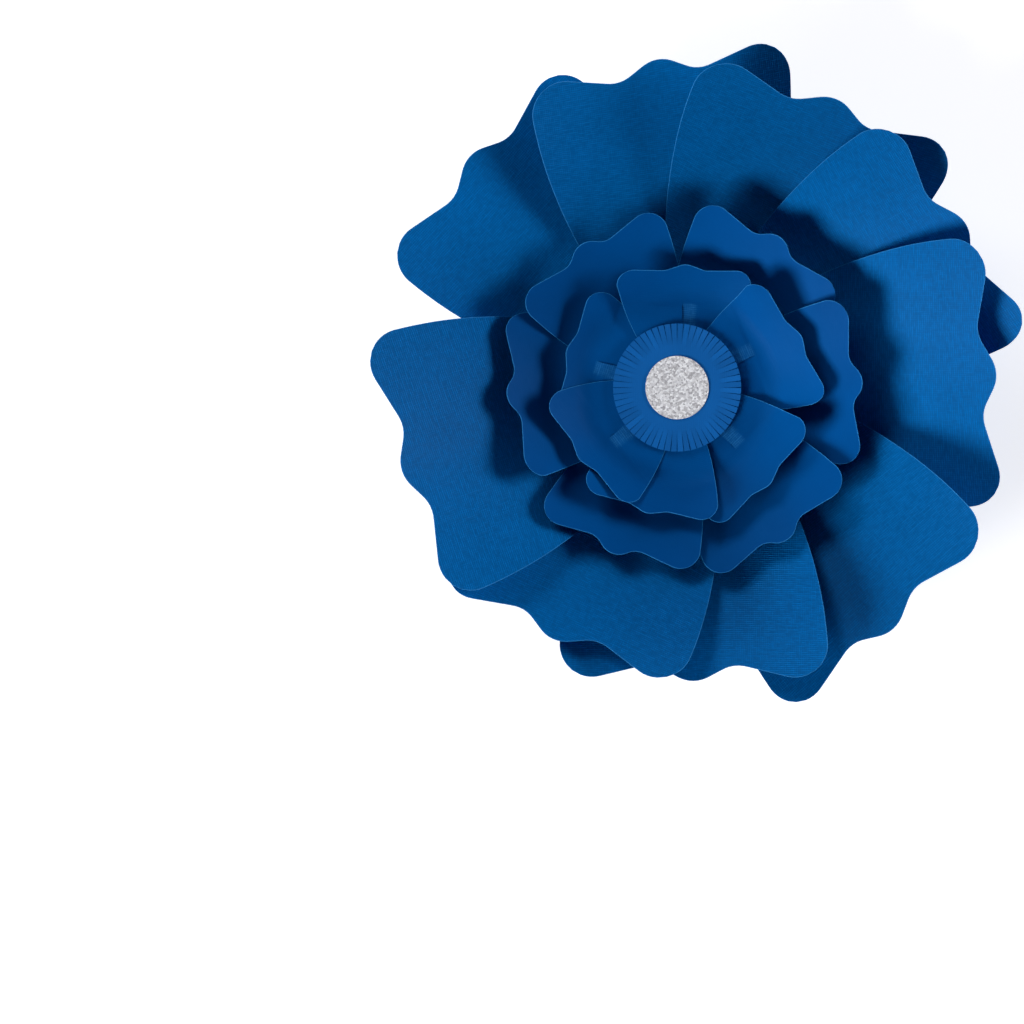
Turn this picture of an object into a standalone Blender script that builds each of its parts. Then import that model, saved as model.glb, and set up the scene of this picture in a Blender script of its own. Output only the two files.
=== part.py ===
"""Giant paper flower.

Three rings of card petals are glued one on another round a card disc. Each petal is one die-cut sheet with
a slit at its base. The slit's two flaps are glued over each other, which cups the petal. A fringed disc and
a small glitter disc close the centre.

Lengths are in metres and angles in degrees. The flower lies on its back, with +Z out of its face, and the
origin is in the middle of the base disc's back.
"""
import math
import random
from dataclasses import dataclass

import bmesh
import bpy
from mathutils import Vector
from mathutils.geometry import delaunay_2d_cdt, interpolate_bezier

# Card
SHEET = 0.00035
GAP = 0.0003

# Base disc, on which the outer petals are glued
BASE_DISC_DIAMETER = 0.130
BASE_DISC_THICKNESS = 0.0010

# Where the middle of the inner two rings and of the centre lies, off the middle of the outer ring
CENTRE_X = -0.0116
CENTRE_Y = -0.0109

# Outer ring: bearings run clockwise, in the order of gluing; a spread is how wide a petal opens, and a draw
# is how far its covering side is pulled in, as a share of the distance from its axis
OUTER_BEARINGS = (136.7, 97.2, 62.7, 28.7, -0.7, -52.8, -90.6, -118.0, -160.9)
OUTER_REACH_TRIMS = (0.000, 0.001, -0.004, -0.003, -0.007, 0.009, 0.000, -0.004, 0.000)
OUTER_SPREADS = (0.99, 0.98, 1.0, 0.96, 1.0, 1.0, 1.0, 0.97, 1.02)
OUTER_DRAWS = (0.02, 0.07, 0.12, 0.11, 0.09, 0.09, 0.01, 0.08, 0.0)
OUTER_REACH = 0.1975
OUTER_WIDTH = 0.172
OUTER_BASE_END = 0.016
OUTER_BASE_WIDTH = 0.037
OUTER_SLIT_END = 0.096
OUTER_RISE_ANGLE = 35.0
OUTER_BEND_RADIUS = 0.045
OUTER_EDGE_LIFT = 0.010
OUTER_OPEN_TILT = 0.020
OUTER_SHOULDER = (0.42, 0.92)
OUTER_CROWN = 0.03
OUTER_NOTCH = 0.085

# Middle ring
MIDDLE_BEARINGS = (55.7, 1.8, -54.0, -111.5, -177.3, -236.0)
MIDDLE_REACH_TRIMS = (0.003, 0.005, 0.007, 0.001, -0.004, -0.003)
MIDDLE_SPREADS = (1.0, 1.0, 1.0, 1.0, 1.0, 1.0)
MIDDLE_DRAWS = (0.0, 0.06, 0.0, 0.02, 0.10, 0.0)
MIDDLE_REACH = 0.109
MIDDLE_WIDTH = 0.106
MIDDLE_BASE_END = 0.011
MIDDLE_BASE_WIDTH = 0.022
MIDDLE_SLIT_END = 0.068
MIDDLE_RISE_ANGLE = 38.0
MIDDLE_BEND_RADIUS = 0.030
MIDDLE_EDGE_LIFT = 0.004
MIDDLE_OPEN_TILT = 0.003
MIDDLE_SHOULDER = (0.35, 0.76)
MIDDLE_CROWN = 0.10
MIDDLE_NOTCH = 0.035

# Inner ring
INNER_BEARINGS = (161.5, 86.2, 22.5, -46.4, -103.7, -143.7)
INNER_REACH_TRIMS = (-0.006, -0.002, 0.005, 0.005, 0.002, -0.003)
INNER_SPREADS = (1.0, 1.0, 1.0, 1.0, 1.0, 1.0)
INNER_DRAWS = (0.06, 0.06, 0.14, 0.06, 0.0, 0.04)
INNER_REACH = 0.0777
INNER_WIDTH = 0.087
INNER_BASE_END = 0.009
INNER_BASE_WIDTH = 0.018
INNER_SLIT_END = 0.055
INNER_RISE_ANGLE = 42.0
INNER_BEND_RADIUS = 0.018
INNER_EDGE_LIFT = 0.003
INNER_OPEN_TILT = 0.0025
INNER_SHOULDER = (0.35, 0.74)
INNER_CROWN = 0.09
INNER_NOTCH = 0.0

# Slit at a petal's base
DART_ANGLE = 10.0
SLIT_TIP = 0.004

# Petal template, in shares of half the petal's width
LOBE_RADIUS = 0.245
LOBE_ACROSS = 0.755
NOTCH_ACROSS = 0.338
SIDE_ANGLE = 97.0

# Pose of a petal's sheet
CUP_START = math.radians(8.6)
LAST_CUP_SHARE = 0.35
RIDGE = math.radians(3.0)

# Centre
FRINGE_DIAMETER = 0.083
FRINGE_SLIT_RADIUS = 0.027
FRINGE_STRIPS = 60
FRINGE_SLIT_WIDTH = 0.0003
FRINGE_LIFT = 0.0014
FRINGE_LEAST_LIFT = 0.7
FRINGE_TWIST = 0.0003
GLITTER_DIAMETER = 0.041
GLITTER_THICKNESS = 0.0005

# Facets
SIDE_STEPS = 8
LOBE_STEPS = 7
WAVE_STEPS = 3
SEAM_STEPS = 6
FLAP_STEPS = 3
INNER_SHARES = (0.34, 0.68)
DISC_SIDES = 64

CARD_BLUE = (0.004, 0.085, 0.330, 1.0)
CARD_BLUE_MIDDLE = (0.004, 0.066, 0.270, 1.0)
CARD_BLUE_INNER = (0.004, 0.072, 0.290, 1.0)
GLITTER_SILVER = (0.62, 0.64, 0.67, 1.0)

PITCH = SHEET + GAP
FLAP_STEP = PITCH / 2


@dataclass(frozen=True)
class Ring:
    """One ring of petals, all cut with one template."""

    name: str
    centre: Vector
    bearings: tuple
    reach_trims: tuple
    spreads: tuple
    draws: tuple
    reach: float
    width: float
    base_end: float
    base_width: float
    slit_end: float
    rise_angle: float
    bend_radius: float
    edge_lift: float
    open_tilt: float
    shoulder: tuple
    crown: float
    notch: float

    @property
    def tilt(self):
        """Rise for each radian round the ring that lifts a petal clear of the one under it."""
        turns = [a - b for a, b in zip(self.bearings, self.bearings[1:])]
        turns.append(self.bearings[-1] + 360 - self.bearings[0])
        return (PITCH + FLAP_STEP) / math.radians(min(turns))

    @property
    def band(self):
        """Height that the glued zone's tilt takes up, above or below its middle."""
        return self.tilt * math.atan2(self.base_width / 2, self.base_end) + FLAP_STEP

    @property
    def cup(self):
        """Lift of a petal's free edge for each square radian past the start of the cup."""
        edge_angle = math.atan2(self.width / 2, self.reach - LOBE_RADIUS * self.width / 2)
        return self.edge_lift / (edge_angle + CUP_START) ** 2


def clear_scene():
    """Remove what the file holds."""
    for old in list(bpy.data.objects):
        bpy.data.objects.remove(old, do_unlink=True)


def card_material(name, colour, roughness, metallic=0.0):
    """A plain finish for one kind of card."""
    material = bpy.data.materials.new(name)
    material.use_nodes = True
    shader = material.node_tree.nodes["Principled BSDF"]
    shader.inputs["Base Color"].default_value = colour
    shader.inputs["Roughness"].default_value = roughness
    shader.inputs["Metallic"].default_value = metallic
    material.diffuse_color = colour
    return material


def add_object(name, mesh, material):
    """Put a named object in the scene."""
    mesh.materials.append(material)
    part = bpy.data.objects.new(name, mesh)
    bpy.context.scene.collection.objects.link(part)
    return part


def add_thickness(part, thickness, offset):
    """Give a sheet its thickness."""
    solidify = part.modifiers.new("Card", "SOLIDIFY")
    solidify.thickness = thickness
    solidify.offset = offset
    solidify.use_even_offset = True
    return solidify


def direction(angle):
    """Unit vector at an angle in degrees."""
    return Vector((math.cos(math.radians(angle)), math.sin(math.radians(angle))))


def arc(centre, radius, start, end, steps):
    """Points on an arc, both ends included."""
    return [centre + radius * direction(start + (end - start) * i / steps) for i in range(steps + 1)]


def smooth_step(low, high, value):
    """0 below low, 1 above high and a smooth rise between."""
    share = min(1.0, max(0.0, (value - low) / (high - low)))
    return share * share * (3 - 2 * share)


def joining_angle(first, second, radius, side):
    """Angle at which the line that crosses between two equal circles leaves the first one."""
    line = second - first
    lean = math.degrees(math.acos(min(1.0, 2 * radius / line.length)))
    return math.degrees(math.atan2(line.y, line.x)) + side * lean


def half_outline(ring, reach):
    """Half of a petal's cut edge, from the corner at its base to the top of its middle bump."""
    size = ring.width / 2
    radius = LOBE_RADIUS * size
    lobe = Vector((reach - radius, LOBE_ACROSS * size))
    notch = Vector((reach - ring.notch * size + radius, NOTCH_ACROSS * size))
    bump = Vector((reach + ring.crown * size - radius, 0.0))
    lobe_end = joining_angle(lobe, notch, radius, 1)
    notch_end = joining_angle(notch, bump, radius, -1) % 360
    corner = Vector((ring.base_end, ring.base_width / 2))
    side_end = lobe + radius * direction(SIDE_ANGLE)
    along, across = ring.shoulder
    shoulder = Vector((corner.x + along * (side_end.x - corner.x), across * side_end.y))
    side = interpolate_bezier(
        corner,
        corner.lerp(shoulder, 2 / 3),
        side_end.lerp(shoulder, 2 / 3),
        side_end,
        SIDE_STEPS + 1,
    )
    points = [Vector(point[:2]) for point in side[:-1]]
    points += arc(lobe, radius, SIDE_ANGLE, lobe_end, LOBE_STEPS)
    points += arc(notch, radius, lobe_end + 180, notch_end, WAVE_STEPS)
    points += arc(bump, radius, notch_end - 180, 0.0, WAVE_STEPS)
    points[-1].y = 0.0
    return points


def slit_edge(ring):
    """Edge of one flap, from the slit's end to the base, on the far side of the petal's axis."""
    lap = (ring.slit_end - ring.base_end) * math.tan(math.radians(DART_ANGLE / 2))
    start = Vector((ring.slit_end - SLIT_TIP, GAP / 2))
    end = Vector((ring.base_end, -lap))
    return [start.lerp(end, i / FLAP_STEPS) for i in range(FLAP_STEPS + 1)]


def inside_points(outline, ring, reach):
    """Points inside half a petal, on lines that run with its side."""
    sides = outline[1:SIDE_STEPS + 1]
    points = [Vector((p.x, p.y * share)) for p in sides for share in INNER_SHARES]
    lobe_back = reach - LOBE_RADIUS * ring.width / 2
    points.append(Vector((lobe_back, LOBE_ACROSS * ring.width / 2)))
    points.append(Vector((lobe_back, NOTCH_ACROSS * ring.width / 2)))
    slit = slit_edge(ring)[-1].y
    return [p for p in points if p.y > abs(slit) * 0.3]


def half_sheet(ring, reach):
    """Flat half petal beside the slit, as points and triangles, with its edge on the +Y side."""
    outline = half_outline(ring, reach)
    tip = outline[-1].x
    seam = [Vector((tip + (ring.slit_end - tip) * i / SEAM_STEPS, 0.0)) for i in range(1, SEAM_STEPS + 1)]
    border = outline + seam + slit_edge(ring)
    count = len(border)
    edges = [(i, (i + 1) % count) for i in range(count)]
    points = border + inside_points(outline, ring, reach)
    found = delaunay_2d_cdt(points, edges, [], 1, 1e-7)
    return found[0], found[2]


def rise(ring, radius):
    """Height above the glued zone: level, then a round bend, then a straight slope."""
    run = max(0.0, radius - ring.slit_end)
    slope = math.radians(ring.rise_angle)
    bend_run = ring.bend_radius * math.sin(slope)
    if run < bend_run:
        return ring.bend_radius - math.sqrt(ring.bend_radius ** 2 - run ** 2)
    return ring.bend_radius * (1 - math.cos(slope)) + (run - bend_run) * math.tan(slope)


def lean(ring, radius, angle, index):
    """Height that a petal gains sideways, so that each lies over the one glued before it.

    The first petal lies under both its neighbours and the last lies over both.
    """
    opening = smooth_step(0.8 * ring.slit_end, ring.reach, radius)
    tilt = ring.tilt + ring.open_tilt * opening
    ridge = math.sqrt(angle ** 2 + RIDGE ** 2)
    cup = ring.cup * opening
    if index == 0:
        return -tilt * ridge
    if index == len(ring.bearings) - 1:
        return tilt * ridge + LAST_CUP_SHARE * cup * angle ** 2
    return tilt * angle + cup * max(0.0, angle + CUP_START) ** 2


def bend(ring, index, level, point, side):
    """Place one point of a flat petal: its flaps lap, it rises from its fold and leans on its neighbour."""
    along = point.x
    across = side * point.y * ring.spreads[index]
    radius = math.hypot(along, across)
    angle = math.atan2(across, along)
    flap = FLAP_STEP * smooth_step(0.0, SLIT_TIP, ring.slit_end - along)
    height = level + rise(ring, radius) + lean(ring, radius, angle, index) + side * flap
    drawn = along - ring.draws[index] * across * smooth_step(ring.slit_end, ring.reach, along)
    turn = math.radians(ring.bearings[index])
    x = ring.centre.x + drawn * math.cos(turn) - across * math.sin(turn)
    y = ring.centre.y + drawn * math.sin(turn) + across * math.cos(turn)
    return Vector((x, y, height))


def build_petal(ring, index, level, material):
    """One petal: two flat halves, bent and joined along the axis outside the slit."""
    points, triangles = half_sheet(ring, ring.reach + ring.reach_trims[index])
    bm = bmesh.new()
    for side in (1, -1):
        corners = [bm.verts.new(bend(ring, index, level, point, side)) for point in points]
        for triangle in triangles:
            face = [corners[i] for i in triangle]
            bm.faces.new(face if side > 0 else face[::-1])
    bmesh.ops.remove_doubles(bm, verts=bm.verts, dist=1e-6)
    mesh = bpy.data.meshes.new(f"{ring.name}_petal_{index + 1}")
    bm.to_mesh(mesh)
    bm.free()
    mesh.shade_smooth()
    petal = add_object(mesh.name, mesh, material)
    add_thickness(petal, SHEET, 0.0)
    return petal


def build_ring(ring, below, material):
    """A ring of petals on what lies below it; returns the height of its top."""
    level = below + GAP + SHEET / 2 + ring.band
    for index in range(len(ring.bearings)):
        build_petal(ring, index, level, material)
    return level + ring.band + SHEET / 2


def build_disc(name, centre, diameter, bottom, thickness, material):
    """A round flat disc, made as a filled circle and extruded up."""
    bm = bmesh.new()
    made = bmesh.ops.create_circle(bm, cap_ends=True, segments=DISC_SIDES, radius=diameter / 2)
    bmesh.ops.translate(bm, verts=made["verts"], vec=(centre.x, centre.y, bottom))
    top = bmesh.ops.extrude_face_region(bm, geom=list(bm.faces))
    raised = [item for item in top["geom"] if isinstance(item, bmesh.types.BMVert)]
    bmesh.ops.translate(bm, verts=raised, vec=(0.0, 0.0, thickness))
    bmesh.ops.recalc_face_normals(bm, faces=bm.faces)
    mesh = bpy.data.meshes.new(name)
    bm.to_mesh(mesh)
    bm.free()
    mesh.shade_smooth()
    mesh.set_sharp_from_angle(angle=math.radians(40))
    return add_object(name, mesh, material)


def build_fringed_disc(centre, bottom, material):
    """A disc with slits all round; each strip between two slits is lifted and twisted a little."""
    chance = random.Random(7)
    bm = bmesh.new()
    level = bottom + SHEET / 2
    step = 360 / FRINGE_STRIPS
    rim = FRINGE_DIAMETER / 2
    slit = math.degrees(FRINGE_SLIT_WIDTH / 2 / rim)
    hub = bm.verts.new((centre.x, centre.y, level))
    roots = [
        bm.verts.new((*(centre + FRINGE_SLIT_RADIUS * direction(step * i)), level))
        for i in range(FRINGE_STRIPS)
    ]
    for i, root in enumerate(roots):
        following = roots[(i + 1) % FRINGE_STRIPS]
        bm.faces.new((hub, root, following))
        lift = FRINGE_LIFT * chance.uniform(FRINGE_LEAST_LIFT, 1.0)
        twist = FRINGE_TWIST * chance.uniform(-1.0, 1.0)
        lows, highs = [root], [following]
        for share in (0.5, 1.0):
            radius = FRINGE_SLIT_RADIUS + share * (rim - FRINGE_SLIT_RADIUS)
            height = level + (lift + abs(twist)) * share ** 1.5
            first = centre + radius * direction(step * i + slit * share)
            second = centre + radius * direction(step * (i + 1) - slit * share)
            lows.append(bm.verts.new((*first, height - twist * share)))
            highs.append(bm.verts.new((*second, height + twist * share)))
        for k in range(2):
            bm.faces.new((lows[k], lows[k + 1], highs[k + 1], highs[k]))
    mesh = bpy.data.meshes.new("fringed_disc")
    bm.to_mesh(mesh)
    bm.free()
    mesh.shade_smooth()
    disc = add_object("fringed_disc", mesh, material)
    add_thickness(disc, SHEET, 0.0)
    return disc


def make_rings():
    """The three rings of petals, from the back to the front."""
    outer = Ring(
        "outer", Vector((0.0, 0.0)), OUTER_BEARINGS, OUTER_REACH_TRIMS, OUTER_SPREADS, OUTER_DRAWS,
        OUTER_REACH, OUTER_WIDTH, OUTER_BASE_END, OUTER_BASE_WIDTH, OUTER_SLIT_END, OUTER_RISE_ANGLE,
        OUTER_BEND_RADIUS, OUTER_EDGE_LIFT, OUTER_OPEN_TILT, OUTER_SHOULDER, OUTER_CROWN, OUTER_NOTCH,
    )
    centre = Vector((CENTRE_X, CENTRE_Y))
    middle = Ring(
        "middle", centre, MIDDLE_BEARINGS, MIDDLE_REACH_TRIMS, MIDDLE_SPREADS, MIDDLE_DRAWS,
        MIDDLE_REACH, MIDDLE_WIDTH, MIDDLE_BASE_END, MIDDLE_BASE_WIDTH, MIDDLE_SLIT_END, MIDDLE_RISE_ANGLE,
        MIDDLE_BEND_RADIUS, MIDDLE_EDGE_LIFT, MIDDLE_OPEN_TILT, MIDDLE_SHOULDER, MIDDLE_CROWN, MIDDLE_NOTCH,
    )
    inner = Ring(
        "inner", centre, INNER_BEARINGS, INNER_REACH_TRIMS, INNER_SPREADS, INNER_DRAWS,
        INNER_REACH, INNER_WIDTH, INNER_BASE_END, INNER_BASE_WIDTH, INNER_SLIT_END, INNER_RISE_ANGLE,
        INNER_BEND_RADIUS, INNER_EDGE_LIFT, INNER_OPEN_TILT, INNER_SHOULDER, INNER_CROWN, INNER_NOTCH,
    )
    return outer, middle, inner


def main():
    """Build the flower from its back to its face."""
    clear_scene()
    outer, middle, inner = make_rings()
    base_card = card_material("base_card", CARD_BLUE, 0.85)
    build_disc("base_disc", outer.centre, BASE_DISC_DIAMETER, 0.0, BASE_DISC_THICKNESS, base_card)
    top = BASE_DISC_THICKNESS
    top = build_ring(outer, top, card_material("outer_card", CARD_BLUE, 0.8))
    top = build_ring(middle, top, card_material("middle_card", CARD_BLUE_MIDDLE, 0.8))
    top = build_ring(inner, top, card_material("inner_card", CARD_BLUE_INNER, 0.8))
    build_fringed_disc(inner.centre, top + GAP, card_material("fringe_card", CARD_BLUE_MIDDLE, 0.8))
    top += PITCH + GAP
    glitter = card_material("glitter", GLITTER_SILVER, 0.35, 0.6)
    build_disc("glitter_disc", inner.centre, GLITTER_DIAMETER, top, GLITTER_THICKNESS, glitter)


main()
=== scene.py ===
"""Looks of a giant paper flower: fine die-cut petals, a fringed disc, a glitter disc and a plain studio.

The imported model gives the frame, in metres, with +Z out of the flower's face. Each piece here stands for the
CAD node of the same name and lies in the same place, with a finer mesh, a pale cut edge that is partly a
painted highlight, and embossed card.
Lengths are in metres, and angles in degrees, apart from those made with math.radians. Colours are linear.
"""
import logging
import math
import random
from dataclasses import dataclass
from enum import Enum

import bmesh
import bpy
from mathutils import Matrix, Vector
from mathutils.geometry import interpolate_bezier


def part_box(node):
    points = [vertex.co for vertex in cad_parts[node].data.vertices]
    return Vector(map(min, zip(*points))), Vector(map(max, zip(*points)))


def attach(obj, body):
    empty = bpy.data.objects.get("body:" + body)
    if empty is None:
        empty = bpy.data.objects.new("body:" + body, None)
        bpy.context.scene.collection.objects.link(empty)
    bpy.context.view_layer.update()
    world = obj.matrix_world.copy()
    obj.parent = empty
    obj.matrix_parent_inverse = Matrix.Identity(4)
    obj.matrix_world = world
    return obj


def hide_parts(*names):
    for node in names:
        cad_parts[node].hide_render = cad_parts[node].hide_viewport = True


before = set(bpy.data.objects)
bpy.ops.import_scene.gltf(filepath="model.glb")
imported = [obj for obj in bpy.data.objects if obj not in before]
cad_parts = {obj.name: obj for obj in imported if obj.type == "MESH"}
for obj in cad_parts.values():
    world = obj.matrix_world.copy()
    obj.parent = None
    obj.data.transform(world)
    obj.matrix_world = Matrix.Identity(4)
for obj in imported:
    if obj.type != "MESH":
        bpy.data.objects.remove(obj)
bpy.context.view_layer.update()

log = logging.getLogger("paper_flower")

Colour = tuple[float, float, float]

SHEET = 0.00035
GAP = 0.0003
PITCH = SHEET + GAP
FLAP_STEP = PITCH / 2
SHARP_ANGLE = math.radians(40)
MERGE_DISTANCE = 1e-6
UV_NAME = "sheet"
FOLD_HIGHLIGHT_NAME = "fold_highlight"
TONE_AND_LIGHT_NAME = "tone"
WHITE = (1.0, 1.0, 1.0)


class Role(Enum):
    """Where a petal lies among its neighbours."""

    FIRST = "under both neighbours"
    NEXT = "over the one before"
    LAST = "over both neighbours"


class Slot(Enum):
    """Material slots, by their materials' names."""

    BASE = "base_card"
    OUTER = "outer_card"
    MIDDLE = "middle_card"
    INNER = "inner_card"
    FRINGE = "fringe_card"
    GLITTER = "glitter_card"


def middle_of(node: str) -> Vector:
    """Middle of a CAD node, seen from above."""
    low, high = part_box(node)
    return (Vector(low).xy + Vector(high).xy) / 2


def direction(angle: float) -> Vector:
    """Unit vector at an angle in degrees."""
    return Vector((math.cos(math.radians(angle)), math.sin(math.radians(angle))))


def smooth_step(low: float, high: float, value: float) -> float:
    """0 below low, 1 above high and a smooth rise between."""
    share = min(1.0, max(0.0, (value - low) / (high - low)))
    return share * share * (3 - 2 * share)


def arc(centre: Vector, radius: float, start: float, end: float, steps: int = 24) -> list[Vector]:
    """Points on an arc between two angles in degrees, both ends included."""
    return [centre + radius * direction(start + (end - start) * i / steps) for i in range(steps + 1)]


def joining_angle(first: Vector, second: Vector, radius: float, side: int) -> float:
    """Angle at which the line that crosses between two equal circles leaves the first one."""
    line = second - first
    lean = math.degrees(math.acos(min(1.0, 2 * radius / line.length)))
    return math.degrees(math.atan2(line.y, line.x)) + side * lean


def spread(points: list[Vector], shares: list[float]) -> list[Vector]:
    """Points at given shares of a line's length.

    Args:
        points: The line's points in order.
        shares: Shares of the whole length, from 0 to 1, in rising order.

    Returns:
        One point for each share.
    """
    lengths = [0.0]
    for a, b in zip(points, points[1:]):
        lengths.append(lengths[-1] + (b - a).length)
    found = []
    k = 0
    for share in shares:
        target = share * lengths[-1]
        while k < len(points) - 2 and lengths[k + 1] < target:
            k += 1
        span = lengths[k + 1] - lengths[k]
        found.append(points[k].lerp(points[k + 1], (target - lengths[k]) / span if span else 0.0))
    return found


def add_node(tree: bpy.types.NodeTree, kind: str, inputs: dict | None = None, **settings) -> bpy.types.Node:
    """Add a shader node.

    Args:
        tree: Tree that it goes in.
        kind: Its type, without the ShaderNode at the front.
        inputs: Values or other nodes' outputs, by the input's name or number.
        **settings: The node's own settings.

    Returns:
        The node.
    """
    node = tree.nodes.new(f"ShaderNode{kind}")
    for name, value in settings.items():
        setattr(node, name, value)
    for key, value in (inputs or {}).items():
        if isinstance(value, bpy.types.NodeSocket):
            tree.links.new(value, node.inputs[key])
        else:
            node.inputs[key].default_value = value
    return node


def new_material(name: str) -> tuple[bpy.types.Material, bpy.types.NodeTree, bpy.types.Node]:
    """A material, its node tree and its Principled shader."""
    material = bpy.data.materials.new(name)
    material.use_nodes = True
    tree = material.node_tree
    return material, tree, tree.nodes["Principled BSDF"]


def start_group(
    name: str, inputs: list[tuple[str, str]], outputs: list[str]
) -> tuple[bpy.types.NodeTree, bpy.types.Node, bpy.types.Node]:
    """Start a shader node group.

    Args:
        name: Name of the group.
        inputs: Name and kind of each input, Vector or Float.
        outputs: Names of its float outputs.

    Returns:
        The group, its input node and its output node.
    """
    group = bpy.data.node_groups.new(name, "ShaderNodeTree")
    for label, kind in inputs:
        group.interface.new_socket(label, in_out="INPUT", socket_type=f"NodeSocket{kind}")
    for label in outputs:
        group.interface.new_socket(label, in_out="OUTPUT", socket_type="NodeSocketFloat")
    return group, group.nodes.new("NodeGroupInput"), group.nodes.new("NodeGroupOutput")


@dataclass(frozen=True)
class Threads:
    """One family of threads in the emboss.

    Attributes:
        bands: Axis across the threads.
        stretch: Scale of the unevenness on each axis; a small one makes long runs.
        weight: Share of the emboss's height.
    """

    bands: str
    stretch: tuple[float, float, float]
    weight: float


@dataclass(frozen=True)
class Linen:
    """Linen emboss of card: threads both ways across the sheet, each of its own uneven strength.

    Attributes:
        name: Name of its node group; a linen with other values needs another one.
        warp: Threads one way.
        weft: Threads the other way.
        sway: How far the threads sway from straight lines.
        sway_rate: How often they sway, for each pitch.
        run_rate: How often a thread's strength changes, for each pitch.
        detail: Octaves of the noise in both.
        run_range: Noise at which a thread is gone, and at which it is strongest.
        tone_range: Height at which the card is darkest, and at which it is palest.
        bands_in_unit: Bands of Blender's wave texture in one unit at a scale of 1.
    """

    name: str = "linen_emboss"
    warp: Threads = Threads("X", (1.0, 0.22, 1.0), 0.68)
    weft: Threads = Threads("Y", (0.22, 1.0, 1.0), 0.32)
    sway: float = 1.6
    sway_rate: float = 1.2
    run_rate: float = 0.9
    detail: float = 2.0
    run_range: tuple[float, float] = (0.35, 0.65)
    tone_range: tuple[float, float] = (0.05, 0.65)
    bands_in_unit: float = 20 / math.tau

    def pressed(
        self, group: bpy.types.NodeTree, place: bpy.types.NodeSocket, family: Threads
    ) -> bpy.types.NodeSocket:
        """Height of one family of threads at a place that is measured in pitches."""
        wave = add_node(
            group, "TexWave",
            {
                "Vector": place,
                "Scale": 1 / self.bands_in_unit,
                "Distortion": self.sway,
                "Detail": self.detail,
                "Detail Scale": self.sway_rate,
            },
            bands_direction=family.bands,
        )
        along = add_node(group, "VectorMath", {0: place, 1: family.stretch}, operation="MULTIPLY")
        strength = add_node(
            group, "TexNoise", {"Vector": along.outputs[0], "Scale": self.run_rate, "Detail": self.detail}
        )
        gone, strongest = self.run_range
        uneven = add_node(
            group, "MapRange",
            {
                "Value": strength.outputs["Fac"],
                "From Min": gone,
                "From Max": strongest,
                "To Max": family.weight,
            },
        )
        return add_node(
            group, "Math", {0: wave.outputs["Fac"], 1: uneven.outputs["Result"]}, operation="MULTIPLY"
        ).outputs[0]

    def group(self) -> bpy.types.NodeTree:
        """Make the emboss once.

        Returns:
            A node group with inputs Vector and Pitch, and outputs Height and Tone, both from 0 to 1.
        """
        if self.name in bpy.data.node_groups:
            return bpy.data.node_groups[self.name]
        group, given, out = start_group(
            self.name, [("Vector", "Vector"), ("Pitch", "Float")], ["Height", "Tone"]
        )
        inverse = add_node(group, "Math", {0: 1.0, 1: given.outputs["Pitch"]}, operation="DIVIDE")
        place = add_node(
            group, "VectorMath", {0: given.outputs["Vector"], "Scale": inverse.outputs[0]}, operation="SCALE"
        ).outputs[0]
        warp = self.pressed(group, place, self.warp)
        weft = self.pressed(group, place, self.weft)
        woven = add_node(group, "Math", {0: warp, 1: weft}, operation="ADD")
        darkest, palest = self.tone_range
        tone = add_node(
            group, "MapRange", {"Value": woven.outputs[0], "From Min": darkest, "From Max": palest}
        )
        group.links.new(woven.outputs[0], out.inputs["Height"])
        group.links.new(tone.outputs["Result"], out.inputs["Tone"])
        return group


MOTTLE_DETAIL = 3.0
MOTTLE_RANGE = (0.3, 0.7)


def mottle_group() -> bpy.types.NodeTree:
    """Slow uneven tone of dyed card.

    Returns:
        A node group with inputs Vector and Size, and output Tone, from 0 to 1.
    """
    name = "card_mottle"
    if name in bpy.data.node_groups:
        return bpy.data.node_groups[name]
    group, given, out = start_group(name, [("Vector", "Vector"), ("Size", "Float")], ["Tone"])
    inverse = add_node(group, "Math", {0: 1.0, 1: given.outputs["Size"]}, operation="DIVIDE")
    clouds = add_node(
        group, "TexNoise",
        {"Vector": given.outputs["Vector"], "Scale": inverse.outputs[0], "Detail": MOTTLE_DETAIL},
    )
    darkest, palest = MOTTLE_RANGE
    tone = add_node(
        group, "MapRange", {"Value": clouds.outputs["Fac"], "From Min": darkest, "From Max": palest}
    )
    group.links.new(tone.outputs["Result"], out.inputs["Tone"])
    return group


def shade(colour: Colour, share: float = 1.0) -> tuple[float, float, float, float]:
    """Colour made darker or lighter, with alpha."""
    return (*[min(1.0, value * share) for value in colour], 1.0)


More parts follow.
